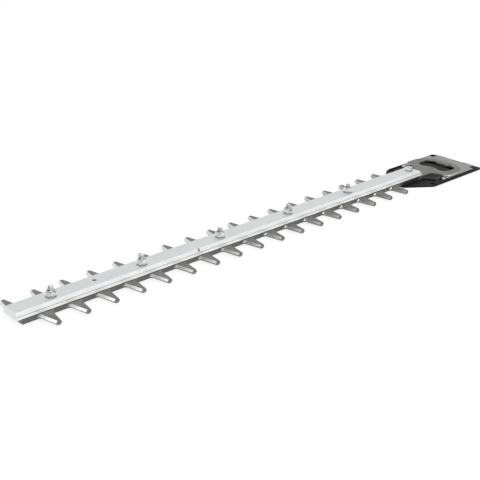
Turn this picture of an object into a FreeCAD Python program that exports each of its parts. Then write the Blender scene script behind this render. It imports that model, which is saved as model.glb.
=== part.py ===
import FreeCAD, Part
import Sketcher
import math
import os
from types import SimpleNamespace

# Hedge trimmer blade unit: two toothed blades that slide between a guide bar and
# a base tray, clamped by screws that pass through collars in the blades' slots.
# Frame: origin on the crank axis at the underside, +X along the bar to the tip,
# +Z up to the nuts, +Y the side whose teeth start one half pitch further forward.
# At rest the upper blade stands at the back of its stroke and the lower one at the
# front, where the teeth of both lie over each other.

doc = FreeCAD.newDocument("hedge_trimmer_blade")

# Two present values that differ by less than this are the same, in millimetres
SAME = 1e-4

# Driving dimensions in millimetres
SIZES = {
    # Travel and running clearances
    "stroke": 15.0,
    "slide_gap": 0.1,
    "collar_clearance": 0.1,
    "stroke_margin": 0.5,
    "yoke_clearance": 0.5,
    "bridge_clearance": 1.0,
    "hole_clearance": 0.05,
    # Teeth
    "tooth_pitch": 30.0,
    "first_tooth": 97.5,
    "tooth_reach": 32.3,
    "tooth_root_half": 7.3,
    "tooth_tip_half": 2.8,
    "tooth_tip_round": 2.2,
    "gullet_round": 3.5,
    "gullet_run": 3.6,
    "tooth_sink": 2.0,
    "bevel_root": 1.9,
    "bevel_tip": 1.2,
    "bevel_end": 0.8,
    "crest_round": 1.0,
    # Blade strips and yokes
    "blade_thickness": 2.0,
    "strip_half": 11.5,
    "tip_setback": 4.0,
    "yoke_neck": 29.5,
    "yoke_shoulder": 20.0,
    "yoke_back": 21.5,
    "upper_back_round": 25.0,
    "lower_back_round": 18.0,
    "neck_round": 6.0,
    "shoulder_round": 5.0,
    "yoke_ledge": 1.0,
    "drive_slot_width": 26.0,
    "drive_waist_width": 20.0,
    "drive_lobe": 11.5,
    "drive_lobe_round": 8.0,
    "drive_waist_run": 3.0,
    "drive_waist_round": 2.5,
    "upper_drive_length": 43.0,
    "lower_drive_length": 41.0,
    "slot_edge_break": 0.4,
    # Guide bar
    "bar_back": 39.5,
    "bar_length": 564.5,
    "bar_height": 6.7,
    "bar_half": 10.5,
    "bar_top_half": 8.8,
    "bar_land": 2.5,
    "crease_width": 0.5,
    "crease_depth": 0.5,
    "bar_edge_round": 0.5,
    "bar_end_round": 6.0,
    "oil_hole_radius": 2.0,
    "oil_hole_back": 85.5,
    "nick_back": 201.5,
    "nick_radius": 1.0,
    "nick_depth": 2.6,
    # Screws, collars, nuts
    "screw_pitch": 99.0,
    "bar_screws": 5,
    "tip_screw_back": 40.0,
    "base_screw_front": 12.5,
    "screw_radius": 2.5,
    "screw_play": 0.15,
    "screw_end": 3.3,
    "base_screw_end": 0.4,
    "screw_tip_break": 0.5,
    "head_radius": 5.0,
    "head_height": 1.4,
    "sunk_land": 0.2,
    "sunk_head_depth": 0.1,
    "collar_radius": 4.5,
    "disc_radius": 7.5,
    "washer_radius": 5.1,
    "washer_thickness": 1.0,
    "nut_flats": 8.0,
    "nut_bevel_slope": 0.58,
    "nut_hex_height": 3.6,
    "nut_collar_height": 1.4,
    "nut_collar_radius": 3.7,
    "nut_collar_round": 0.5,
    # Base tray
    "tray_floor": 2.2,
    "tray_half": 36.0,
    "tray_front": 79.5,
    "tray_front_half": 14.0,
    "tray_shoulder": 47.5,
    "tray_back": 54.5,
    "tray_shoulder_round": 9.0,
    "tray_front_round": 4.0,
    "tray_corner_round": 4.0,
    "tray_bend": 1.8,
    "rim_height": 3.0,
    "rim_thickness": 1.8,
    "rim_setback": 3.5,
    "mount_length": 87.0,
    "mount_edge": 6.0,
    "mount_hole_radius": 2.7,
    # Yoke guide
    "guide_side_gap": 0.9,
    "guide_arm_width": 7.0,
    "guide_front": 17.6,
    "guide_arm_round": 2.8,
    "notch_front_gap": 1.8,
    "notch_side_gap": 0.8,
    "guide_back_margin": 4.0,
    "guide_recess_half": 8.0,
    "guide_lobe": 3.0,
    "guide_lobe_round": 2.5,
    "rivet_radius": 3.0,
    "rivet_edge_break": 0.3,
    "front_rivet_inset": 5.0,
    "back_rivet_inset": 6.0,
    "back_rivet_half": 17.0,
    "pin_radius": 2.7,
    "pin_gap": 0.2,
    "pin_round": 1.2,
}

sheet = doc.addObject("Spreadsheet::Sheet", "sizes")
for row, (alias, value) in enumerate(SIZES.items(), start=1):
    sheet.set(f"A{row}", alias)
    sheet.set(f"B{row}", str(value))
    sheet.setAlias(f"B{row}", alias)
doc.recompute()


class Size:
    """A dimension that carries its present value and the sheet expression that gives it."""

    def __init__(self, value, text):
        self.value = value
        self.text = text

    def __add__(self, other):
        return Size(self.value + number(other), f"({self.text} + {text(other)})")

    def __sub__(self, other):
        return Size(self.value - number(other), f"({self.text} - {text(other)})")

    def __mul__(self, other):
        return Size(self.value * number(other), f"({self.text} * {text(other)})")

    def __truediv__(self, other):
        return Size(self.value / number(other), f"({self.text} / {text(other)})")

    def __neg__(self):
        return Size(-self.value, f"(-1 * {self.text})")

    def whole(self):
        """The whole number below."""
        return Size(math.floor(self.value), f"floor({self.text})")


def number(size):
    """Present value of a Size or a plain number."""
    return size.value if isinstance(size, Size) else float(size)


def text(size):
    """Expression of a Size or a plain number."""
    return size.text if isinstance(size, Size) else repr(size)


s = SimpleNamespace(**{name: Size(float(sheet.get(name)), f"sizes.{name}") for name in SIZES})
ZERO = Size(0.0, "0")

# Levels of the stack, from the underside of the tray to the screw ends
lower_bottom = s.tray_floor + s.slide_gap
lower_top = lower_bottom + s.blade_thickness
upper_bottom = lower_top + s.slide_gap
bar_bottom = upper_bottom + s.blade_thickness + s.slide_gap
bar_top = bar_bottom + s.bar_height
nut_bottom = bar_top + s.washer_thickness
nut_height = s.nut_hex_height + s.nut_collar_height
nut_top = nut_bottom + nut_height
screw_top = nut_top + s.screw_end
base_screw_top = bar_top + s.nut_hex_height + s.base_screw_end
guide_top = s.tray_floor + s.blade_thickness

# Stations along the bar
bar_front = s.bar_back + s.bar_length
base_screw_x = s.bar_back + s.base_screw_front
tip_screw_x = bar_front - s.tip_screw_back
bar_screw_x = [tip_screw_x - s.screw_pitch * k for k in range(SIZES["bar_screws"])]
screw_x = bar_screw_x + [base_screw_x]
screw_bore = s.screw_radius + s.screw_play
collar_slot_width = (s.collar_radius + s.collar_clearance) * 2
collar_slot_length = collar_slot_width + s.stroke + s.stroke_margin * 2
blade_front = bar_front - s.tip_setback
right_tooth = s.first_tooth - s.tooth_pitch / 2

# Teeth that fit on each side of the strips
tooth_front = blade_front - s.tooth_tip_half
left_teeth = ((tooth_front - s.first_tooth) / s.tooth_pitch).whole() + 1
right_teeth = ((tooth_front - right_tooth) / s.tooth_pitch).whole() + 1

# Half widths across the drive end, from the tray's side inwards, and the plates' back edges
guide_half = s.tray_half - s.rim_thickness - s.guide_side_gap
guide_inner = guide_half - s.guide_arm_width
arm_middle = (guide_half + guide_inner) / 2
upper_yoke_half = guide_half - s.yoke_ledge
lower_yoke_half = guide_inner - s.yoke_clearance
mount_x = s.mount_length / 2
mount_y = s.tray_half - s.mount_edge
lobe_back = s.tray_back - s.guide_back_margin


def bind(piece, **sizes):
    """Ties properties of a piece to the sheet."""
    for name, size in sizes.items():
        piece.setExpression(name, text(size))


def place(piece, x=ZERO, y=ZERO, z=ZERO):
    """Ties the place of a piece to the sheet."""
    for axis, size in zip("xyz", (x, y, z)):
        piece.setExpression(f"Placement.Base.{axis}", text(size))


def new_body(name, x=ZERO, y=ZERO, z=ZERO):
    """Empty body at a place given by the sheet."""
    body = doc.addObject("PartDesign::Body", name)
    place(body, x, y, z)
    return body


def new_sketch(body, name, plane="XY_Plane", level=ZERO):
    """Sketch on one of the body's own planes, raised to a level."""
    sketch = body.newObject("Sketcher::SketchObject", name)
    support = next(item for item in body.Origin.OriginFeatures if item.Role == plane)
    sketch.AttachmentSupport = [(support, "")]
    sketch.MapMode = "FlatFace"
    sketch.setExpression("AttachmentOffset.Base.z", text(level))
    return sketch


def hold(sketch, kind, geometry, size, position=None):
    """Adds a driven dimension to a sketch and ties it to the sheet."""
    parts = [geometry] if position is None else [-1, 1, geometry, position]
    index = sketch.addConstraint(Sketcher.Constraint(kind, *parts, number(size)))
    sketch.setExpression(f"Constraints[{index}]", text(size))


def fix_point(sketch, geometry, position, x, y):
    """Places a point of a sketch from the sketch's origin."""
    hold(sketch, "DistanceX", geometry, x, position)
    hold(sketch, "DistanceY", geometry, y, position)


def corner_arc(before, corner, after, radius):
    """Tangent arc that rounds a corner: centre, its two end angles and its two tangent points."""
    back = (before - corner).normalize()
    ahead = (after - corner).normalize()
    half = back.getAngle(ahead) / 2
    start = corner + back * (radius / math.tan(half))
    end = corner + ahead * (radius / math.tan(half))
    centre = corner + (back + ahead).normalize() * (radius / math.sin(half))
    left_turn = back.cross(ahead).z < 0
    first, last = (start, end) if left_turn else (end, start)
    angles = [math.atan2(point.y - centre.y, point.x - centre.x) for point in (first, last)]
    if angles[1] < angles[0]:
        angles[1] += 2 * math.pi
    return centre, angles, start, end, left_turn


def outline(body, name, corners, plane="XY_Plane", level=ZERO):
    """Closed outline through corners (x, y) or (x, y, radius), the last ones rounded by tangent arcs."""
    sketch = new_sketch(body, name, plane, level)
    points = [FreeCAD.Vector(number(corner[0]), number(corner[1]), 0) for corner in corners]
    count = len(corners)
    starts, ends, arcs = list(points), list(points), {}
    for i, corner in enumerate(corners):
        if len(corner) == 3:
            arc = corner_arc(points[i - 1], points[i], points[(i + 1) % count], number(corner[2]))
            arcs[i] = arc
            ends[i], starts[i] = arc[2], arc[3]
    sides = [sketch.addGeometry(Part.LineSegment(starts[i], ends[(i + 1) % count])) for i in range(count)]
    for i, corner in enumerate(corners):
        before, after = sides[i - 1], sides[i]
        if i not in arcs:
            sketch.addConstraint(Sketcher.Constraint("Coincident", before, 2, after, 1))
            fix_point(sketch, after, 1, corner[0], corner[1])
            continue
        centre, angles, _, _, left_turn = arcs[i]
        circle = Part.Circle(centre, FreeCAD.Vector(0, 0, 1), number(corner[2]))
        arc = sketch.addGeometry(Part.ArcOfCircle(circle, *angles))
        entry, leave = (1, 2) if left_turn else (2, 1)
        sketch.addConstraint(Sketcher.Constraint("Tangent", before, 2, arc, entry))
        sketch.addConstraint(Sketcher.Constraint("Tangent", arc, leave, after, 1))
        hold(sketch, "Radius", arc, corner[2])
        point = sketch.addGeometry(Part.Point(points[i]), True)
        sketch.addConstraint(Sketcher.Constraint("PointOnObject", point, 1, before))
        sketch.addConstraint(Sketcher.Constraint("PointOnObject", point, 1, after))
        fix_point(sketch, point, 1, corner[0], corner[1])
    return sketch


def circles(body, name, holes, level=ZERO):
    """Sketch of circles, each (x, y, radius)."""
    sketch = new_sketch(body, name, level=level)
    for x, y, radius in holes:
        centre = FreeCAD.Vector(number(x), number(y), 0)
        circle = sketch.addGeometry(Part.Circle(centre, FreeCAD.Vector(0, 0, 1), number(radius)))
        fix_point(sketch, circle, 3, x, y)
        hold(sketch, "Radius", circle, radius)
    return sketch


def long_slots(body, name, centres, length, width):
    """Sketch of round-ended slots along X, of one length and width."""
    sketch = new_sketch(body, name)
    radius = width / 2
    reach = (length - width) / 2
    for x, y in centres:
        ends = [(x - reach, y), (x + reach, y)]
        arcs = []
        for (end_x, end_y), first_angle in zip(ends, (math.pi / 2, -math.pi / 2)):
            centre = FreeCAD.Vector(number(end_x), number(end_y), 0)
            circle = Part.Circle(centre, FreeCAD.Vector(0, 0, 1), number(radius))
            arcs.append(Part.ArcOfCircle(circle, first_angle, first_angle + math.pi))
        first, second = [sketch.addGeometry(arc) for arc in arcs]
        sides = []
        for here, there in ((arcs[0], arcs[1]), (arcs[1], arcs[0])):
            sides.append(sketch.addGeometry(Part.LineSegment(here.EndPoint, there.StartPoint)))
        for here, there in ((first, sides[0]), (sides[0], second), (second, sides[1]), (sides[1], first)):
            sketch.addConstraint(Sketcher.Constraint("Tangent", here, 2, there, 1))
        sketch.addConstraint(Sketcher.Constraint("Equal", first, second))
        hold(sketch, "Radius", first, radius)
        fix_point(sketch, first, 3, *ends[0])
        fix_point(sketch, second, 3, *ends[1])
    return sketch


def pad(body, name, sketch, length, downwards=False):
    """Extrusion of a sketch."""
    feature = body.newObject("PartDesign::Pad", name)
    feature.Profile = sketch
    feature.Reversed = downwards
    bind(feature, Length=length)
    return feature


def cut_through(body, name, sketch):
    """Cut of a sketch through the whole body."""
    feature = body.newObject("PartDesign::Pocket", name)
    feature.Profile = sketch
    feature.Type = "ThroughAll"
    feature.SideType = "Symmetric"
    return feature


def repeat(body, name, feature, pitch, count):
    """Row of one feature along X."""
    pattern = body.newObject("PartDesign::LinearPattern", name)
    pattern.Originals = [feature]
    pattern.Direction = (next(i for i in body.Origin.OriginFeatures if i.Role == "X_Axis"), [""])
    pattern.Mode = "Spacing"
    bind(pattern, Offset=pitch, Occurrences=count)
    body.Tip = pattern
    return pattern


def dress(body, kind, name, wanted, **sizes):
    """Fillet or chamfer on the edges of the finished body that a test picks out."""
    doc.recompute()
    base = body.Tip
    names = [f"Edge{i}" for i, edge in enumerate(base.Shape.Edges, start=1) if wanted(edge)]
    feature = body.newObject(f"PartDesign::{kind}", name)
    feature.Base = (base, names)
    bind(feature, **sizes)
    return feature


def near(a, b):
    """True where two present values agree."""
    return abs(number(a) - number(b)) < SAME


def at_level(edge, level):
    """True for an edge that lies flat at one level."""
    box = edge.BoundBox
    return near(box.ZMin, level) and near(box.ZMax, level)


def turned(name, profile, x=ZERO, y=ZERO, z=ZERO):
    """Piece turned about an upright axis from its half section (radius, height)."""
    body = new_body(name, x, y, z)
    sketch = outline(body, f"{name}_section", profile, "XZ_Plane")
    feature = body.newObject("PartDesign::Revolution", f"{name}_turn")
    feature.Profile = sketch
    feature.ReferenceAxis = (sketch, ["V_Axis"])
    feature.Angle = 360
    return body


def ring(name, bore, radius, height, x, z):
    """Flat ring or collar about an upright axis on the bar's centre line."""
    return turned(name, [(bore, ZERO), (radius, ZERO), (radius, height), (bore, height)], x, ZERO, z)


def shared(name, first, second):
    """What two pieces have in common."""
    common = doc.addObject("Part::Common", name)
    common.Base = first
    common.Tool = second
    return common


def group(name, pieces):
    """Like pieces under one name, as separate solids."""
    compound = doc.addObject("Part::Compound", name)
    compound.Links = pieces
    return compound


def tooth_section(body, name, x, side, inset_root, inset_tip, inset_end, tip_round, level):
    """Outline of one tooth at a level: a tapered finger with round gullets at its root."""
    root_half = s.tooth_root_half - inset_root
    tip_half = s.tooth_tip_half - inset_tip
    base_half = s.tooth_root_half + s.gullet_run
    base = (s.strip_half - s.tooth_sink) * side
    edge = s.strip_half * side
    tip = (s.tooth_reach - inset_end) * side
    corners = [
        (x - base_half, base),
        (x - base_half, edge),
        (x - root_half, edge, s.gullet_round),
        (x - tip_half, tip, tip_round),
        (x + tip_half, tip, tip_round),
        (x + root_half, edge, s.gullet_round),
        (x + base_half, edge),
        (x + base_half, base),
    ]
    return outline(body, name, corners, level=level)


def drive_slot(body, name, x, length):
    """Waisted slot across the yoke: two wide lobes joined by the narrower run of the eccentric."""
    lobe = s.drive_slot_width / 2
    waist = s.drive_waist_width / 2
    end = length / 2
    step = end - s.drive_lobe
    run = step - s.drive_waist_run
    front = [
        (x + lobe, -end, s.drive_lobe_round),
        (x + lobe, -step, s.drive_waist_round),
        (x + waist, -run, s.drive_waist_round),
        (x + waist, run, s.drive_waist_round),
        (x + lobe, step, s.drive_waist_round),
        (x + lobe, end, s.drive_lobe_round),
    ]
    back = [(x * 2 - corner[0], *corner[1:]) for corner in reversed(front)]
    return outline(body, name, front + back)


def blade(name, face, level, shift, yoke_half, back_round, drive_length):
    """Toothed blade with its yoke. Face is +1 where the bevels look up and -1 where they look down."""
    body = new_body(name, z=level)
    neck = shift + s.yoke_neck
    shoulder = shift + s.yoke_shoulder
    back = shift - s.yoke_back
    strip = [
        (blade_front, s.strip_half),
        (neck, s.strip_half, s.neck_round),
        (shoulder, yoke_half, s.shoulder_round),
        (back, yoke_half, back_round),
        (back, -yoke_half, back_round),
        (shoulder, -yoke_half, s.shoulder_round),
        (neck, -s.strip_half, s.neck_round),
        (blade_front, -s.strip_half),
    ]
    pad(body, f"{name}_strip", outline(body, f"{name}_outline", strip), s.blade_thickness, face < 0)
    rows = (("left", s.first_tooth, 1, left_teeth), ("right", right_tooth, -1, right_teeth))
    for row, x, side, count in rows:
        edge = tooth_section(body, f"{name}_{row}_edge", x, side, ZERO, ZERO, ZERO, s.tooth_tip_round, ZERO)
        crest = tooth_section(body, f"{name}_{row}_crest", x, side, s.bevel_root, s.bevel_tip, s.bevel_end,
                              s.crest_round, s.blade_thickness * face)
        tooth = body.newObject("PartDesign::AdditiveLoft", f"{name}_{row}_tooth")
        tooth.Profile = edge
        tooth.Sections = [crest]
        tooth.Ruled = True
        repeat(body, f"{name}_{row}_row", tooth, s.tooth_pitch, count)
    beyond = blade_front + s.tooth_pitch
    shear = [
        (blade_front, -s.tooth_reach),
        (beyond, -s.tooth_reach),
        (beyond, s.tooth_reach),
        (blade_front, s.tooth_reach),
    ]
    cut_through(body, f"{name}_front_cut", outline(body, f"{name}_front_shear", shear))
    centres = [(x + shift, ZERO) for x in screw_x]
    slots = long_slots(body, f"{name}_collar_slots", centres, collar_slot_length, collar_slot_width)
    cut_through(body, f"{name}_collar_cut", slots)
    cut_through(body, f"{name}_drive_cut", drive_slot(body, f"{name}_drive_slot", shift, drive_length))

    def drive_edge(edge):
        reach = edge.BoundBox
        inside_y = max(abs(reach.YMin), abs(reach.YMax)) < number(drive_length) / 2 + SAME
        half_width = number(s.drive_slot_width) / 2 + SAME
        inside_x = max(abs(reach.XMin - number(shift)), abs(reach.XMax - number(shift))) < half_width
        return inside_x and inside_y and at_level(edge, s.blade_thickness * face)

    dress(body, "Chamfer", f"{name}_drive_edge", drive_edge, Size=s.slot_edge_break)
    return body


def bar_side(height):
    """Half width of the bar at a height on its leaning side."""
    return s.bar_half - (s.bar_half - s.bar_top_half) * height / s.bar_height


def guide_bar():
    """Extruded bar with leaning sides, a crease along each, and a top that rounds off at its drive end."""
    body = new_body("bar_extrusion", s.bar_back, ZERO, bar_bottom)
    crease_middle = s.bar_land + s.crease_width / 2
    crease_top = s.bar_land + s.crease_width
    half = [
        (s.bar_half, ZERO),
        (bar_side(s.bar_land), s.bar_land),
        (bar_side(crease_middle) - s.crease_depth, crease_middle),
        (bar_side(crease_top), crease_top),
        (s.bar_top_half, s.bar_height, s.bar_edge_round),
    ]
    mirrored = [(-corner[0], *corner[1:]) for corner in reversed(half)]
    section = outline(body, "bar_section", half + mirrored, "YZ_Plane")
    pad(body, "bar_run", section, s.bar_length)
    holes = [(x - s.bar_back, ZERO, screw_bore) for x in screw_x]
    holes.append((s.bar_length - s.oil_hole_back, ZERO, s.oil_hole_radius))
    cut_through(body, "bar_drill", circles(body, "bar_holes", holes))
    nick_side = bar_side(s.bar_height - s.nick_depth / 2)
    nick_place = (s.bar_length - s.nick_back, nick_side, s.nick_radius)
    spot = circles(body, "bar_nick_spot", [nick_place], s.bar_height)
    nick = body.newObject("PartDesign::Pocket", "bar_nick")
    nick.Profile = spot
    bind(nick, Length=s.nick_depth)
    profile = new_body("bar_profile", s.bar_back, s.bar_half, bar_bottom)
    corners = [
        (ZERO, ZERO),
        (s.bar_length, ZERO),
        (s.bar_length, s.bar_height),
        (ZERO, s.bar_height, s.bar_end_round),
    ]
    side = outline(profile, "bar_profile_outline", corners, "XZ_Plane")
    pad(profile, "bar_profile_block", side, s.bar_half * 2)
    return shared("guide_bar", body, profile)


def base_tray():
    """Pressed plate: winged front, turned-up sides, rounded lower bend, holes for screws and rivets."""
    body = new_body("base_tray")
    half = [
        (s.tray_front, s.tray_front_half, s.tray_front_round),
        (s.tray_shoulder, s.tray_half, s.tray_shoulder_round),
        (-s.tray_back, s.tray_half, s.tray_corner_round),
    ]
    mirrored = [(corner[0], -corner[1], corner[2]) for corner in reversed(half)]
    pad(body, "tray_plate", outline(body, "tray_outline", half + mirrored), s.tray_floor)
    for name, side in (("left", 1), ("right", -1)):
        rim_front = s.tray_shoulder - s.rim_setback
        rim_back = s.tray_corner_round - s.tray_back
        rim_inside = s.tray_half - s.rim_thickness
        rim = [
            (rim_front, s.tray_half * side),
            (rim_back, s.tray_half * side),
            (rim_back, rim_inside * side),
            (rim_front, rim_inside * side),
        ]
        pad(body, f"{name}_rim", outline(body, f"{name}_rim_outline", rim), s.rim_height)
    holes = [(x, y, s.mount_hole_radius) for x, y in mount_places()]
    holes += [(x, y, s.rivet_radius) for x, y in rivet_places()]
    holes += [(x, y, s.pin_radius) for x, y in pin_places()]
    holes.append((base_screw_x, ZERO, screw_bore))
    cut_through(body, "tray_drill", circles(body, "tray_holes", holes))

    def lower_bend(edge):
        sides = (edge.BoundBox.YMin, edge.BoundBox.YMax)
        return at_level(edge, 0) and all(near(abs(side), s.tray_half) for side in sides) and near(*sides)

    dress(body, "Fillet", "tray_bend", lower_bend, Radius=s.tray_bend)

    def screw_mouth(edge):
        middle = edge.BoundBox.Center
        return at_level(edge, 0) and near(middle.x, base_screw_x) and near(middle.y, 0)

    dress(body, "Chamfer", "screw_countersink", screw_mouth, Size=s.tray_floor - s.sunk_land)
    return body


def mount_places():
    """Four mounting holes about the crank axis."""
    return [(mount_x * i, mount_y * j) for i in (1, -1) for j in (1, -1)]


def rivet_places():
    """Two rivets at the ends of the guide's arms and two in its lobes."""
    front = s.guide_front - s.front_rivet_inset
    back = s.back_rivet_inset - lobe_back
    return [(x, y * j) for x, y in ((front, arm_middle), (back, s.back_rivet_half)) for j in (1, -1)]


def pin_places():
    """One pin in front of each of the guide's arms."""
    return [(s.guide_front + s.pin_gap + s.pin_radius, arm_middle * j) for j in (1, -1)]


def yoke_guide():
    """U-shaped plate round the lower yoke, with notches at its back corners and two lobes between them."""
    body = new_body("yoke_guide", z=s.tray_floor)
    bridge = s.yoke_back + s.stroke / 2 + s.bridge_clearance
    inner_round = s.lower_back_round + s.yoke_clearance
    notch_front = mount_x - s.mount_hole_radius - s.notch_front_gap
    notch_side = mount_y - s.mount_hole_radius - s.notch_side_gap
    half = [
        (s.guide_front, guide_inner, s.guide_arm_round),
        (s.guide_front, guide_half, s.guide_arm_round),
        (-notch_front, guide_half),
        (-notch_front, notch_side),
        (-lobe_back, notch_side, s.guide_lobe_round),
        (-lobe_back, s.guide_recess_half + s.guide_lobe, s.guide_lobe_round),
        (s.guide_lobe - lobe_back, s.guide_recess_half),
    ]
    mirrored = [(corner[0], -corner[1], *corner[2:]) for corner in reversed(half)]
    back = [(-bridge, -guide_inner, inner_round), (-bridge, guide_inner, inner_round)]
    shape = outline(body, "guide_outline", half + mirrored + back)
    pad(body, "guide_plate", shape, s.blade_thickness)
    holes = [(x, y, s.rivet_radius) for x, y in rivet_places()]
    cut_through(body, "guide_drill", circles(body, "guide_holes", holes))
    return body


def rivet(index, x, y):
    """Flush rivet through the tray and the yoke guide."""
    radius = s.rivet_radius - s.hole_clearance
    top_radius = radius - s.rivet_edge_break
    profile = [
        (ZERO, ZERO),
        (radius, ZERO),
        (radius, guide_top - s.rivet_edge_break),
        (top_radius, guide_top),
        (ZERO, guide_top),
    ]
    return turned(f"rivet_{index}", profile, x, y)


def guide_pin(index, x, y):
    """Round-topped pin that stands in the tray and stops the guide's arm."""
    radius = s.pin_radius - s.hole_clearance
    profile = [
        (ZERO, ZERO),
        (radius, ZERO),
        (radius, guide_top, s.pin_round),
        (ZERO, guide_top),
    ]
    return turned(f"guide_pin_{index}", profile, x, y)


def guide_screw(index, x):
    """Flat-headed screw from below, its end standing out of the lock nut."""
    profile = [
        (ZERO, ZERO),
        (s.head_radius, ZERO),
        (s.head_radius, s.head_height),
        (s.screw_radius, s.head_height),
        (s.screw_radius, screw_top - s.screw_tip_break),
        (s.screw_radius - s.screw_tip_break, screw_top),
        (ZERO, screw_top),
    ]
    return turned(f"guide_screw_{index}", profile, x)


def base_screw():
    """Countersunk screw through the tray."""
    mouth_radius = screw_bore + s.tray_floor - s.sunk_land
    head_radius = mouth_radius - s.hole_clearance - s.sunk_head_depth
    profile = [
        (ZERO, s.sunk_head_depth),
        (head_radius, s.sunk_head_depth),
        (s.screw_radius, s.sunk_head_depth + head_radius - s.screw_radius),
        (s.screw_radius, base_screw_top - s.screw_tip_break),
        (s.screw_radius - s.screw_tip_break, base_screw_top),
        (ZERO, base_screw_top),
    ]
    return turned("base_screw", profile, base_screw_x)


def nut(name, x, level, locking):
    """Hexagon nut with bevelled corners. A locking nut carries a round collar on top."""
    corner = s.nut_flats / math.sqrt(3)
    flat = s.nut_flats / 2
    bevel = (corner - flat) * s.nut_bevel_slope
    height = nut_height if locking else s.nut_hex_height
    collar = [
        (s.nut_collar_radius, s.nut_hex_height),
        (s.nut_collar_radius, nut_height - s.nut_collar_round),
        (s.nut_collar_radius - s.nut_collar_round, nut_height),
    ]
    profile = [
        (screw_bore, ZERO),
        (flat, ZERO),
        (corner, bevel),
        (corner, s.nut_hex_height - bevel),
        (flat, s.nut_hex_height),
        *(collar if locking else []),
        (screw_bore, height),
    ]
    envelope = turned(f"{name}_turning", profile, x, ZERO, level)
    hexagon = doc.addObject("Part::Prism", f"{name}_hexagon")
    hexagon.Polygon = 6
    bind(hexagon, Circumradius=corner, Height=height)
    place(hexagon, x, ZERO, level)
    return shared(name, hexagon, envelope)


# Sub-parts
upper_shift = s.stroke / -2
lower_shift = s.stroke / 2
nodes = [
    guide_bar(),
    blade("upper_blade", 1, upper_bottom, upper_shift, upper_yoke_half, s.upper_back_round,
          s.upper_drive_length),
    blade("lower_blade", -1, lower_top, lower_shift, lower_yoke_half, s.lower_back_round,
          s.lower_drive_length),
    base_tray(),
    yoke_guide(),
    group("frame_rivets", [rivet(i, x, y) for i, (x, y) in enumerate(rivet_places(), start=1)]),
    group("guide_pins", [guide_pin(i, x, y) for i, (x, y) in enumerate(pin_places(), start=1)]),
    group("guide_screws", [guide_screw(i, x) for i, x in enumerate(bar_screw_x, start=1)]),
    base_screw(),
    group("nut_washers", [
        ring(f"nut_washer_{i}", screw_bore, s.washer_radius, s.washer_thickness, x, bar_top)
        for i, x in enumerate(bar_screw_x, start=1)
    ]),
    group("lock_nuts", [
        *[nut(f"lock_nut_{i}", x, nut_bottom, True) for i, x in enumerate(bar_screw_x, start=1)],
        nut("base_nut", base_screw_x, bar_top, False),
    ]),
]
collar_height = bar_bottom - s.tray_floor
for i, x in enumerate(screw_x, start=1):
    nodes.append(ring(f"guide_sleeve_{i}", screw_bore, s.collar_radius, collar_height, x, s.tray_floor))
disc_height = s.tray_floor - s.head_height
for i, x in enumerate(bar_screw_x, start=1):
    nodes.append(ring(f"support_disc_{i}", screw_bore, s.disc_radius, disc_height, x, s.head_height))

doc.recompute()

# Every object has to be sound before anything is written
for item in doc.Objects:
    if "Invalid" in item.State or "Error" in item.State:
        raise RuntimeError(f"{item.Label}: {item.State} {item.getStatusString()}")
for node in nodes:
    if node.Shape.isNull() or not node.Shape.isValid():
        raise RuntimeError(f"{node.Label}: shape is not valid")

os.makedirs("parts", exist_ok=True)
for node in nodes:
    node.Shape.exportStep(f"parts/{node.Label}.step")
    box = node.Shape.BoundBox
    print(f"{node.Label}: {len(node.Shape.Solids)} solids, {node.Shape.Volume:.0f} mm3,"
          f" x {box.XMin:.1f} to {box.XMax:.1f}, y {box.YMin:.1f} to {box.YMax:.1f},"
          f" z {box.ZMin:.2f} to {box.ZMax:.2f}")
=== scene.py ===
import bpy
import math
import numpy as np
from mathutils import Matrix, Vector


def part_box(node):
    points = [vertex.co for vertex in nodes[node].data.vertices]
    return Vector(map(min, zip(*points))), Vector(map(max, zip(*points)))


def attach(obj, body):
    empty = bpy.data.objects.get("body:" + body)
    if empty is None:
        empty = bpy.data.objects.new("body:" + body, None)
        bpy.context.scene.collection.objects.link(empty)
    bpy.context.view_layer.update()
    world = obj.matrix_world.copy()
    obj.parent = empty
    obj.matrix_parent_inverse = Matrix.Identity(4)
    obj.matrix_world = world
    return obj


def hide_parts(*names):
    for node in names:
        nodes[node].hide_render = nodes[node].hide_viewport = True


# Hedge trimmer blade unit in a plain white studio. Lengths are metres, in the frame of the solids:
# +X along the guide bar to its tip, +Z up to the nuts, +Y towards the camera's side.

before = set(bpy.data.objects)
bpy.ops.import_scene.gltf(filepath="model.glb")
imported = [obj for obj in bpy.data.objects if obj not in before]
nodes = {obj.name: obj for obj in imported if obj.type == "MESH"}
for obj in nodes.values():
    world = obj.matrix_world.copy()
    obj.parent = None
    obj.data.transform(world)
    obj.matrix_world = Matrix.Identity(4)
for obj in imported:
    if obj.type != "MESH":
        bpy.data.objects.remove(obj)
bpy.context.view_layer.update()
MM = 0.001
BAR_FOOT, BAR_TOP = (corner[2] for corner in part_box("guide_bar"))
NUT_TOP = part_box("lock_nuts")[1][2]

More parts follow.
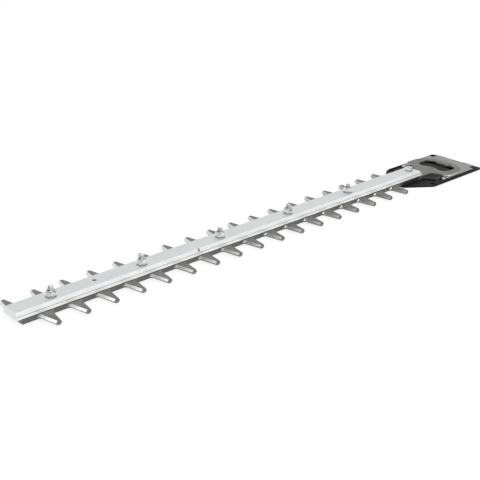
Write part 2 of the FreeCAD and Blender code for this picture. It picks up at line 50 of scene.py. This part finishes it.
# Places that the finishes follow. A pair is where an effect begins and ends.
CREASE = BAR_FOOT + 2.6 * MM, BAR_FOOT + 2.9 * MM
FOOT_SHADE = BAR_FOOT + 0.24 * MM, BAR_FOOT + 0.06 * MM
NICK_ALONG = 401.45 * MM, 403.55 * MM
NICK_ACROSS = 5.0 * MM, 6.0 * MM
NICK_HEIGHT = BAR_TOP - 2.7 * MM, BAR_TOP - 0.1 * MM
DRIVE_END_DARKENING = 560.0 * MM, 150.0 * MM
YOKE_NECK = 50.0 * MM, 40.0 * MM
SLOT_END = 25.0 * MM, 23.9 * MM
STRIP_SHADE_BAND = 10.4 * MM, 11.6 * MM
BEVEL_ROOT = 12.0 * MM, 13.4 * MM
BEVEL_TIP = 31.4 * MM, 30.6 * MM
TRAY_SHADE_ALONG = -26.0 * MM, 34.0 * MM
TRAY_SHADE_ACROSS = 27.0 * MM, 21.0 * MM
WASHER_RIM = NUT_TOP - 4.9 * MM, NUT_TOP - 5.1 * MM
COLLAR_FOOT = NUT_TOP - 1.45 * MM, NUT_TOP - 1.15 * MM
GRAIN_DEPTH = 0.02 * MM
PEEL_DEPTH = 0.05 * MM


# Node helpers

def add_node(tree, kind, **settings):
    """One shader node with its plain settings."""
    node = tree.nodes.new(kind)
    for name, value in settings.items():
        setattr(node, name, value)
    return node


def feed(tree, socket, value):
    """Links an output to a socket, or sets the socket to a constant."""
    if isinstance(value, bpy.types.NodeSocket):
        tree.links.new(value, socket)
    else:
        socket.default_value = value


def math_node(tree, operation, *values, clamp=False):
    """Arithmetic on one or more values."""
    node = add_node(tree, "ShaderNodeMath", operation=operation, use_clamp=clamp)
    for socket, value in zip(node.inputs, values):
        feed(tree, socket, value)
    return node.outputs[0]


def product(tree, first, *others):
    """Product of two or more values."""
    for other in others:
        first = math_node(tree, "MULTIPLY", first, other)
    return first


def largest(tree, first, second):
    """The larger of two values."""
    return math_node(tree, "MAXIMUM", first, second)


def size_of(tree, value):
    """A value without its sign."""
    return math_node(tree, "ABSOLUTE", value)


def ramp(tree, value, low, high, out_low=0.0, out_high=1.0):
    """Smooth step of a value from low to high."""
    node = add_node(tree, "ShaderNodeMapRange", interpolation_type="SMOOTHSTEP")
    limits = {"From Min": low, "From Max": high, "To Min": out_low, "To Max": out_high}
    for name, number in limits.items():
        node.inputs[name].default_value = number
    feed(tree, node.inputs["Value"], value)
    return node.outputs["Result"]


def band(tree, value, low, high, soft):
    """One between low and high, falling to zero over a soft edge."""
    rise = ramp(tree, value, low - soft, low + soft)
    fall = ramp(tree, value, high - soft, high + soft)
    return math_node(tree, "SUBTRACT", rise, fall, clamp=True)


def blend(tree, factor, first, second):
    """Mix of two colours by a factor."""
    node = add_node(tree, "ShaderNodeMix", data_type="RGBA")
    feed(tree, node.inputs["Factor"], factor)
    feed(tree, node.inputs["A"], first)
    feed(tree, node.inputs["B"], second)
    return node.outputs["Result"]


def xyz(tree, vector):
    """The three coordinates of a vector."""
    node = add_node(tree, "ShaderNodeSeparateXYZ")
    feed(tree, node.inputs[0], vector)
    return node.outputs


def new_group(name, inputs, outputs):
    """Empty node group with float or vector sockets, and its two end nodes."""
    tree = bpy.data.node_groups.new(name, "ShaderNodeTree")
    for socket, (kind, value) in inputs.items():
        made = tree.interface.new_socket(socket, in_out="INPUT", socket_type=f"NodeSocket{kind}")
        if value is not None:
            made.default_value = value
    for socket, kind in outputs.items():
        tree.interface.new_socket(socket, in_out="OUTPUT", socket_type=f"NodeSocket{kind}")
    return tree, tree.nodes.new("NodeGroupInput").outputs, tree.nodes.new("NodeGroupOutput").inputs


def use_group(tree, group, **values):
    """A group placed in a material with its own values."""
    node = tree.nodes.new("ShaderNodeGroup")
    node.node_tree = group
    for name, value in values.items():
        feed(tree, node.inputs[name], value)
    return node.outputs


# Effects shared by several finishes

def drawn_lines_group():
    """Fine lines of a drawn, rolled or ground surface: noise on coordinates squeezed along the lines."""
    inputs = {"Vector": ("Vector", None), "Squeeze": ("Vector", (1, 1, 1)), "Scale": ("Float", 800.0)}
    tree, given, out = new_group("drawn_lines", inputs, {"Lines": "Float"})
    squeezed = add_node(tree, "ShaderNodeVectorMath", operation="MULTIPLY")
    feed(tree, squeezed.inputs[0], given["Vector"])
    feed(tree, squeezed.inputs[1], given["Squeeze"])
    noise = add_node(tree, "ShaderNodeTexNoise")
    feed(tree, noise.inputs["Vector"], squeezed.outputs[0])
    feed(tree, noise.inputs["Scale"], given["Scale"])
    noise.inputs["Detail"].default_value = 4.0
    noise.inputs["Roughness"].default_value = 0.6
    feed(tree, out["Lines"], noise.outputs["Fac"])
    return tree


def mill_cloud_group():
    """Cloudy tone of rolled or plated metal: two sizes of noise, spread about one half."""
    inputs = {"Vector": ("Vector", None), "Scale": ("Float", 60.0)}
    tree, given, out = new_group("mill_cloud", inputs, {"Cloud": "Float"})
    broad = add_node(tree, "ShaderNodeTexNoise")
    feed(tree, broad.inputs["Vector"], given["Vector"])
    feed(tree, broad.inputs["Scale"], given["Scale"])
    broad.inputs["Detail"].default_value = 3.0
    fine = add_node(tree, "ShaderNodeTexNoise")
    feed(tree, fine.inputs["Vector"], given["Vector"])
    feed(tree, fine.inputs["Scale"], product(tree, given["Scale"], 9.0))
    fine.inputs["Detail"].default_value = 2.0
    both = math_node(tree, "ADD", product(tree, broad.outputs["Fac"], 0.65),
                     product(tree, fine.outputs["Fac"], 0.35))
    feed(tree, out["Cloud"], ramp(tree, both, 0.3, 0.7))
    return tree


def edge_wear_highlight_group():
    """Mask of edges for wear and painted highlight: where the normal averaged over a small radius leaves the
    face's own normal.
    """
    tree, given, out = new_group("worn_lit_edges", {"Radius": ("Float", 0.3 * MM)}, {"Worn_lit": "Float"})
    rounded = add_node(tree, "ShaderNodeBevel", samples=6)
    feed(tree, rounded.inputs["Radius"], given["Radius"])
    own = add_node(tree, "ShaderNodeNewGeometry")
    turn = add_node(tree, "ShaderNodeVectorMath", operation="DOT_PRODUCT")
    feed(tree, turn.inputs[0], rounded.outputs["Normal"])
    feed(tree, turn.inputs[1], own.outputs["Normal"])
    feed(tree, out["Worn_lit"], ramp(tree, turn.outputs["Value"], 0.995, 0.86))
    return tree


DRAWN_LINES = drawn_lines_group()
MILL_CLOUD = mill_cloud_group()
EDGE_WEAR_HIGHLIGHT = edge_wear_highlight_group()


# Finishes

def new_finish(name):
    """New material with its tree and shader, and the place and normal on the piece."""
    material = bpy.data.materials.new(name)
    material.use_nodes = True
    tree = material.node_tree
    shader = next(node for node in tree.nodes if node.type == "BSDF_PRINCIPLED")
    place = add_node(tree, "ShaderNodeTexCoord")
    return material, tree, shader, place.outputs["Object"], place.outputs["Normal"]


def bump(tree, shader, height, strength, distance):
    """Relief of a height on the shader's normal."""
    node = add_node(tree, "ShaderNodeBump")
    node.inputs["Strength"].default_value = strength
    node.inputs["Distance"].default_value = distance
    feed(tree, node.inputs["Height"], height)
    feed(tree, shader.inputs["Normal"], node.outputs["Normal"])


def bar_finish():
    """Extruded aluminium: lines along the bar, a cloudy oxide tone and side faces lightened as painted light.

    Painted shade lies in the crease, in the nick and at the foot.
    """
    material, tree, shader, place, normal = new_finish("bar_aluminium")
    x, y, z = xyz(tree, place)
    _, across, _ = xyz(tree, normal)
    on_side = ramp(tree, size_of(tree, across), 0.3, 0.5)
    lines = use_group(tree, DRAWN_LINES, Vector=place, Squeeze=(0.02, 1, 1), Scale=1500.0)["Lines"]
    cloud = use_group(tree, MILL_CLOUD, Vector=place, Scale=40.0)["Cloud"]
    worn_lit_edge = use_group(tree, EDGE_WEAR_HIGHLIGHT, Radius=0.4 * MM)["Worn_lit"]
    tone = blend(tree, cloud, (0.69, 0.72, 0.725, 1), (0.75, 0.77, 0.775, 1))
    tone = blend(tree, ramp(tree, lines, 0.35, 0.75), tone, (0.79, 0.805, 0.81, 1))
    # Painted light: the side faces are lighter than the top.
    tone = blend(tree, product(tree, on_side, 0.8), tone, (0.94, 0.95, 0.95, 1))
    # Edges lighten as wear and as a painted highlight.
    tone = blend(tree, worn_lit_edge, tone, (0.90, 0.91, 0.91, 1))
    # Painted shade in the crease and along the foot of the side faces, and in the nick.
    crease = band(tree, z, *CREASE, 0.08 * MM)
    foot = ramp(tree, z, *FOOT_SHADE)
    bar_shade = product(tree, largest(tree, crease, foot), on_side, 0.85)
    nick = product(tree, band(tree, x, *NICK_ALONG, 0.05 * MM), ramp(tree, y, *NICK_ACROSS),
                   band(tree, z, *NICK_HEIGHT, 0.05 * MM), 0.7)
    bar_shade = largest(tree, bar_shade, nick)
    feed(tree, shader.inputs["Base Color"], blend(tree, bar_shade, tone, (0.06, 0.06, 0.06, 1)))
    shader.inputs["Metallic"].default_value = 1.0
    feed(tree, shader.inputs["Roughness"], ramp(tree, lines, 0.3, 0.7, 0.36, 0.48))
    bump(tree, shader, lines, 0.1, GRAIN_DEPTH)
    return material


def blade_finish(name, dark, light, shaded_edge, ground_tones, yoke_shade):
    """Rolled steel between two greys, with ground bevels, painted shade on the edges and at the roots.

    The faces darken towards the drive end. Painted shade darkens the walls of the drive slot, and
    where it is given, the yoke's face round the slot as well.
    """
    material, tree, shader, place, normal = new_finish(name)
    x, y, _ = xyz(tree, place)
    ahead, _, up = xyz(tree, normal)
    away, tilt = size_of(tree, y), size_of(tree, up)
    flank = product(tree, ramp(tree, size_of(tree, ahead), 0.5, 0.66), ramp(tree, away, *BEVEL_ROOT),
                    ramp(tree, away, *BEVEL_TIP))
    bevel = product(tree, band(tree, tilt, 0.3, 0.92, 0.04), flank)
    upright = ramp(tree, tilt, 0.5, 0.2)
    yoke = ramp(tree, x, *YOKE_NECK)
    cloud = use_group(tree, MILL_CLOUD, Vector=place, Scale=70.0)["Cloud"]
    rolled = use_group(tree, DRAWN_LINES, Vector=place, Squeeze=(0.05, 1, 1), Scale=1200.0)["Lines"]
    ground = use_group(tree, DRAWN_LINES, Vector=place, Squeeze=(1, 0.04, 1), Scale=1800.0)["Lines"]
    worn_lit_edge = use_group(tree, EDGE_WEAR_HIGHLIGHT, Radius=0.3 * MM)["Worn_lit"]
    # The faces darken towards the drive end.
    towards_drive = ramp(tree, x, *DRIVE_END_DARKENING, 0.0, 0.5)
    face = blend(tree, towards_drive, blend(tree, cloud, dark, light), (0.085, 0.085, 0.078, 1))
    # Uprights take the shaded edge grey, darker as painted shade; on the yoke they take a bright grey as a
    # painted highlight on its rim.
    tone = blend(tree, upright, face, blend(tree, yoke, shaded_edge, (0.8, 0.8, 0.79, 1)))
    tone = blend(tree, bevel, tone, blend(tree, ramp(tree, ground, 0.3, 0.7), *ground_tones))
    # Edges lighten as wear and as a painted highlight.
    tone = blend(tree, product(tree, worn_lit_edge, 0.5), tone, (0.7, 0.7, 0.69, 1))
    # Painted shade on the strip's top along the bar's foot, away from the yoke.
    bar_foot_shade = product(tree, band(tree, away, *STRIP_SHADE_BAND, 0.4 * MM), ramp(tree, yoke, 1.0, 0.0),
                   ramp(tree, tilt, 0.5, 0.9, 0.25, 0.92))
    # Painted shade on the walls of the drive slot, and on the yoke's face round it where given.
    inside = product(tree, ramp(tree, away, *SLOT_END), yoke)
    slot_shade = largest(tree, product(tree, upright, 0.85), yoke_shade)
    # The painted shade darkens the base colour and takes out the metal.
    painted_shade = largest(tree, bar_foot_shade, product(tree, inside, slot_shade))
    feed(tree, shader.inputs["Base Color"], blend(tree, painted_shade, tone, (0.045, 0.044, 0.037, 1)))
    feed(tree, shader.inputs["Metallic"], math_node(tree, "SUBTRACT", 1.0, painted_shade))
    shader.inputs["Specular IOR Level"].default_value = 0.0
    feed(tree, shader.inputs["Roughness"], ramp(tree, rolled, 0.3, 0.7, 0.26, 0.36))
    bump(tree, shader, blend(tree, bevel, rolled, ground), 0.1, GRAIN_DEPTH)
    return material


def tray_finish():
    """Black lacquer on pressed steel: orange peel, dull streaks, worn and lit edges, painted shade under the
    yokes.
    """
    material, tree, shader, place, _ = new_finish("tray_paint")
    x, y, _ = xyz(tree, place)
    peel = add_node(tree, "ShaderNodeTexNoise")
    feed(tree, peel.inputs["Vector"], place)
    peel.inputs["Scale"].default_value = 700.0
    peel.inputs["Detail"].default_value = 2.0
    streak = use_group(tree, DRAWN_LINES, Vector=place, Squeeze=(0.15, 1, 1), Scale=160.0)["Lines"]
    worn_lit_edge = use_group(tree, EDGE_WEAR_HIGHLIGHT, Radius=0.5 * MM)["Worn_lit"]
    # Painted shade under the yokes: darker and rougher there.
    yoke_shade = product(tree, ramp(tree, size_of(tree, y), *TRAY_SHADE_ACROSS),
                     band(tree, x, *TRAY_SHADE_ALONG, 6.0 * MM))
    tone = blend(tree, ramp(tree, streak, 0.45, 0.75), (0.005, 0.005, 0.005, 1), (0.018, 0.018, 0.017, 1))
    # Edges lighten as wear and as a painted highlight.
    tone = blend(tree, product(tree, worn_lit_edge, 0.4), tone, (0.08, 0.08, 0.08, 1))
    feed(tree, shader.inputs["Base Color"], blend(tree, yoke_shade, tone, (0.004, 0.004, 0.003, 1)))
    sheen = ramp(tree, streak, 0.35, 0.75, 0.3, 0.5)
    dulled = math_node(tree, "ADD", sheen, product(tree, yoke_shade, 0.4))
    feed(tree, shader.inputs["Roughness"], dulled)
    shader.inputs["Specular IOR Level"].default_value = 0.04
    bump(tree, shader, peel.outputs["Fac"], 0.12, PEEL_DEPTH)
    return material


def plated_finish(name, dark, light, roughness, scale, painted_shade=0.0):
    """Plated or turned steel: a cloudy tone between two greys, edges brightened as wear and painted
    highlight, a fine grain.

    Painted shade darkens slopes such as bevels and threads, the washers' rims and the foot of the nuts'
    collars.
    """
    material, tree, shader, place, normal = new_finish(name)
    _, _, z = xyz(tree, place)
    tilt = size_of(tree, xyz(tree, normal)[2])
    upright = ramp(tree, tilt, 0.4, 0.2)
    rim = ramp(tree, z, *WASHER_RIM)
    seam = band(tree, z, *COLLAR_FOOT, 0.1 * MM)
    slope = band(tree, tilt, 0.38, 0.9, 0.06)
    # Painted shade on the washers' rims, the foot of the collars and on what slopes.
    shade_mask = product(tree, upright, largest(tree, rim, seam))
    shade_mask = product(tree, largest(tree, shade_mask, slope), painted_shade)
    cloud = use_group(tree, MILL_CLOUD, Vector=place, Scale=scale)["Cloud"]
    grain = use_group(tree, DRAWN_LINES, Vector=place, Squeeze=(1, 1, 0.2), Scale=2200.0)["Lines"]
    worn_lit_edge = use_group(tree, EDGE_WEAR_HIGHLIGHT, Radius=0.2 * MM)["Worn_lit"]
    tone = blend(tree, cloud, dark, light)
    # Edges lighten as wear and as a painted highlight.
    tone = blend(tree, product(tree, worn_lit_edge, 0.6), tone, (0.9, 0.9, 0.89, 1))
    feed(tree, shader.inputs["Base Color"], blend(tree, shade_mask, tone, (0.16, 0.16, 0.155, 1)))
    shader.inputs["Metallic"].default_value = 1.0
    feed(tree, shader.inputs["Roughness"], ramp(tree, grain, 0.3, 0.7, *roughness))
    bump(tree, shader, grain, 0.08, GRAIN_DEPTH)
    return material


ROLLED_DARK, ROLLED_LIGHT = (0.17, 0.17, 0.16, 1), (0.25, 0.25, 0.235, 1)
ZINC_DARK, ZINC_LIGHT = (0.76, 0.76, 0.76, 1), (0.88, 0.88, 0.88, 1)

bar_aluminium = bar_finish()
blade_steel = blade_finish("blade_steel", ROLLED_DARK, ROLLED_LIGHT, (0.16, 0.16, 0.155, 1),
                           [(0.76, 0.76, 0.75, 1), (0.86, 0.86, 0.85, 1)], 0.0)
# The lower blade is a shaded copy: darker edges and ground bevels as painted shade, and painted shade on its
# yoke round the slot.
under_steel_shaded = blade_finish("under_steel_shaded", ROLLED_DARK, ROLLED_LIGHT, (0.14, 0.14, 0.135, 1),
                           [(0.16, 0.16, 0.155, 1), (0.24, 0.24, 0.235, 1)], 0.9)
tray_paint = tray_finish()
guide_zinc = plated_finish("guide_zinc", (0.28, 0.28, 0.275, 1), (0.36, 0.36, 0.35, 1), (0.34, 0.46), 90.0)
fastener_zinc = plated_finish("fastener_zinc", ZINC_DARK, ZINC_LIGHT, (0.07, 0.15), 260.0, 0.8)
screw_zinc = plated_finish("screw_zinc", ZINC_DARK, ZINC_LIGHT, (0.1, 0.2), 260.0, 0.4)
collar_steel = plated_finish("collar_steel", (0.36, 0.36, 0.36, 1), (0.5, 0.5, 0.49, 1), (0.22, 0.34), 200.0)

FINISHES = {
    "guide_bar": bar_aluminium,
    "upper_blade": blade_steel,
    "lower_blade": under_steel_shaded,
    "base_tray": tray_paint,
    "yoke_guide": guide_zinc,
    "frame_rivets": guide_zinc,
    "guide_pins": fastener_zinc,
    "guide_screws": fastener_zinc,
    "base_screw": fastener_zinc,
    "nut_washers": fastener_zinc,
    "lock_nuts": fastener_zinc,
}
for name, piece in nodes.items():
    piece.data.materials.clear()
    piece.data.materials.append(FINISHES.get(name, collar_steel))


# Threaded screws. Their sizes are in millimetres.

PITCH = 0.8
CREST = 2.5
THREAD_DEPTH = 0.46
THREAD_FADE = 0.4
THREAD_HIDDEN = 0.9
END_BEVEL = 2.0
END_RIM = 1.95
END_DIMPLE, DIMPLE_DEPTH = 1.4, 0.1
SOCKET, SOCKET_MOUTH = 3.0, 3.3
SOCKET_FLOOR, SOCKET_BEVEL = 0.95, 0.2
STEPS_PER_PITCH = 8.0
SHARP_EDGE = math.radians(35.0)
GUIDE_STATIONS = 564.0 - 99.0 * np.arange(5)
BASE_STATIONS = np.array([52.0])
GUIDE_HEAD = [(4.75, 0.0), (5.0, 0.25), (5.0, 1.4), (CREST, 1.4)]
BASE_HEAD = [(4.35, 0.1), (4.5, 0.2), (CREST, 2.1)]
GUIDE_END, BASE_END = 3.3, 0.4
TURN = np.linspace(0.0, 2.0 * math.pi, 48, endpoint=False)


def hexagon(flats):
    """Radius of a hexagon at each angle: half its flats over the cosine of the angle to the nearest flat."""
    return flats / 2.0 / np.cos((TURN + math.pi / 6.0) % (math.pi / 3.0) - math.pi / 6.0)


def screw_rings(head, top, end):
    """Rings (radius, height) of a screw up to its top in millimetres, each a pair of rows over the angles.

    A hexagon socket runs up into the head from below, the head's own rings follow, then the shank. Over the
    screw's end the radius is the crest less a triangle wave of height over pitch less angle, cut off by the
    end's bevel.
    """
    flat = np.ones_like(TURN)
    foot = head[0][1]
    socket = [(hexagon(SOCKET), SOCKET_FLOOR * flat), (hexagon(SOCKET), (foot + SOCKET_BEVEL) * flat),
              (hexagon(SOCKET_MOUTH), foot * flat)]
    start = top - end - THREAD_HIDDEN
    body = [(radius * flat, height * flat) for radius, height in head + [(CREST, start - 0.1)]]
    heights = np.linspace(start, top, round((top - start) * STEPS_PER_PITCH / PITCH))[:, None] * flat
    wave = np.abs(((heights / PITCH - TURN / (2.0 * math.pi)) % 1.0) * 2.0 - 1.0)
    fade = np.clip((heights - start) / THREAD_FADE, 0.0, 1.0)
    depth = THREAD_DEPTH * fade * np.clip(wave * 1.3 - 0.15, 0.0, 1.0)
    thread = np.minimum(CREST - depth, END_BEVEL + top - heights)
    rim = [(END_RIM * flat, top * flat), (END_DIMPLE * flat, (top - DIMPLE_DEPTH) * flat)]
    pairs = socket + body + list(zip(thread, heights)) + rim
    return np.array(pairs)


def screws(name, node, stations, head, end):
    """Skin of a row of screws: rings joined by four-sided faces, closed by a fan at both ends."""
    rings = screw_rings(head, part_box(node)[1][2] / MM, end)
    radius, height = rings[:, 0], rings[:, 1]
    points = np.stack([radius * np.cos(TURN), radius * np.sin(TURN), height], axis=-1)
    rows, turns = radius.shape
    ends = np.array([[0, 0, height[0, 0]], [0, 0, height[-1, 0]]])
    points = np.concatenate([points.reshape(-1, 3), ends])
    index = np.arange(rows * turns).reshape(rows, turns)
    ahead = np.roll(index, -1, axis=1)
    sides = np.stack([index[:-1], ahead[:-1], ahead[1:], index[1:]], axis=-1).reshape(-1, 4)
    foot = np.stack([np.full(turns, rows * turns), ahead[0], index[0]], axis=1)
    crown = np.stack([np.full(turns, rows * turns + 1), index[-1], ahead[-1]], axis=1)
    places = np.zeros((len(stations), 1, 3))
    places[:, 0, 0] = stations
    step = (np.arange(len(stations)) * len(points))[:, None, None]
    mesh = bpy.data.meshes.new(name)
    faces = []
    for kind in (sides, foot, crown):
        faces += (kind + step).reshape(-1, kind.shape[1]).tolist()
    mesh.from_pydata(((points + places) * MM).reshape(-1, 3).tolist(), [], faces)
    mesh.shade_smooth()
    mesh.set_sharp_from_angle(angle=SHARP_EDGE)
    mesh.materials.append(screw_zinc)
    piece = bpy.data.objects.new(name, mesh)
    bpy.context.scene.collection.objects.link(piece)
    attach(piece, "bar_frame")
    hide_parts(node)


screws("threaded_guide_screws", "guide_screws", GUIDE_STATIONS, GUIDE_HEAD, GUIDE_END)
screws("threaded_base_screw", "base_screw", BASE_STATIONS, BASE_HEAD, BASE_END)


# Studio

SKY_LIGHT = 0.6
STUDIO_DARK = 0.84
FLOOR_HALF = 6.0
FLOOR_LEVEL = -0.2 * MM
FLOOR_LIFT = 0.84
CAMERA_PLACE = 0.96034, 0.61669, 0.37463
CAMERA_ANGLES = 134.722, 23.081, -1.784
LENS, SENSOR = 70.553, 36.0


def white_world():
    """White surroundings: plain for the eye, weaker for light, and shaded for reflections.

    What mirrors see is white up to a height that rises towards the tip's end, with dark studio above it on
    that side.
    """
    world = bpy.data.worlds.new("studio")
    bpy.context.scene.world = world
    world.use_nodes = True
    tree = world.node_tree
    background = next(node for node in tree.nodes if node.type == "BACKGROUND")
    background.inputs["Color"].default_value = (1, 1, 1, 1)
    ray = add_node(tree, "ShaderNodeLightPath").outputs
    x, y, z = xyz(tree, add_node(tree, "ShaderNodeTexCoord").outputs["Generated"])
    level = math_node(tree, "SQRT", math_node(tree, "SUBTRACT", 1.0, product(tree, z, z)))
    along = math_node(tree, "DIVIDE", x, largest(tree, level, 0.01))
    height = math_node(tree, "SUBTRACT", z, product(tree, along, 0.3))
    dark = product(tree, ramp(tree, height, 0.33, 0.4), ramp(tree, along, 0.1, 0.35),
                   ramp(tree, y, 0.25, 0.0))
    glow = ramp(tree, y, -0.4, 0.5, 0.9, 1.0)
    glow = math_node(tree, "SUBTRACT", glow, product(tree, dark, STUDIO_DARK))
    seen = largest(tree, ray["Is Camera Ray"], ray["Is Transmission Ray"])
    plain = math_node(tree, "SUBTRACT", 1.0, largest(tree, seen, ray["Is Glossy Ray"]))
    shine = product(tree, ray["Is Glossy Ray"], glow)
    strength = math_node(tree, "ADD", math_node(tree, "ADD", seen, shine), product(tree, plain, SKY_LIGHT))
    feed(tree, background.inputs["Strength"], strength)


def white_floor():
    """Square floor just under the unit. It keeps the shadow and is lifted to white where it is seen."""
    side = np.array([-1.0, 1.0]) * FLOOR_HALF
    x, y = np.meshgrid(side, side)
    corners = np.stack([x.ravel(), y.ravel(), np.full(4, FLOOR_LEVEL)], axis=1)
    mesh = bpy.data.meshes.new("floor")
    mesh.from_pydata(corners.tolist(), [], [(0, 1, 3, 2)])
    floor = bpy.data.objects.new("floor", mesh)
    bpy.context.scene.collection.objects.link(floor)
    material, tree, shader, _, _ = new_finish("floor_white")
    shader.inputs["Roughness"].default_value = 0.9
    shader.inputs["Specular IOR Level"].default_value = 0.0
    ray = add_node(tree, "ShaderNodeLightPath").outputs
    mirrored = largest(tree, ray["Is Glossy Ray"], ray["Is Transmission Ray"])
    seen = largest(tree, ray["Is Camera Ray"], mirrored)
    shader.inputs["Emission Color"].default_value = (1, 1, 1, 1)
    feed(tree, shader.inputs["Emission Strength"], product(tree, seen, FLOOR_LIFT))
    feed(tree, shader.inputs["Base Color"], blend(tree, seen, (0.85, 0.85, 0.85, 1), (0.25, 0.25, 0.25, 1)))
    mesh.materials.append(material)


def soft_box(name, place, aim, size, energy):
    """Rectangular lamp at a place, turned to its aim."""
    lamp = bpy.data.lights.new(name, "AREA")
    lamp.shape = "RECTANGLE"
    lamp.size, lamp.size_y = size
    lamp.energy = energy
    box = bpy.data.objects.new(name, lamp)
    way = (Vector(aim) - Vector(place)).to_track_quat("-Z", "Y")
    box.matrix_world = Matrix.Translation(place) @ way.to_matrix().to_4x4()
    bpy.context.scene.collection.objects.link(box)


def eye():
    """Camera at its place, looking along an azimuth and down by an elevation, with a small roll."""
    turn, down, roll = np.radians(CAMERA_ANGLES)
    ahead = np.array([-math.sin(turn) * math.cos(down), math.cos(turn) * math.cos(down), -math.sin(down)])
    right = np.array([math.cos(turn), math.sin(turn), 0.0])
    below = np.cross(ahead, right)
    right, below = (math.cos(roll) * right + math.sin(roll) * below,
                    math.cos(roll) * below - math.sin(roll) * right)
    camera = bpy.data.cameras.new("camera")
    camera.lens, camera.sensor_width = LENS, SENSOR
    camera.clip_start, camera.clip_end = 0.01, 50.0
    holder = bpy.data.objects.new("camera", camera)
    axes = Matrix(np.stack([right, -below, -ahead], axis=1).tolist()).to_4x4()
    holder.matrix_world = Matrix.Translation(CAMERA_PLACE) @ axes
    bpy.context.scene.collection.objects.link(holder)
    bpy.context.scene.camera = holder


bpy.context.scene.view_settings.view_transform = "Standard"
white_world()
white_floor()
soft_box("tip_box", (1.8, -0.8, 0.55), (0.45, 0, 0), (0.9, 0.5), 2.2)
soft_box("front_box", (0.9, 1.1, 1.5), (0.3, 0, 0), (1.2, 1.0), 9.0)
eye()
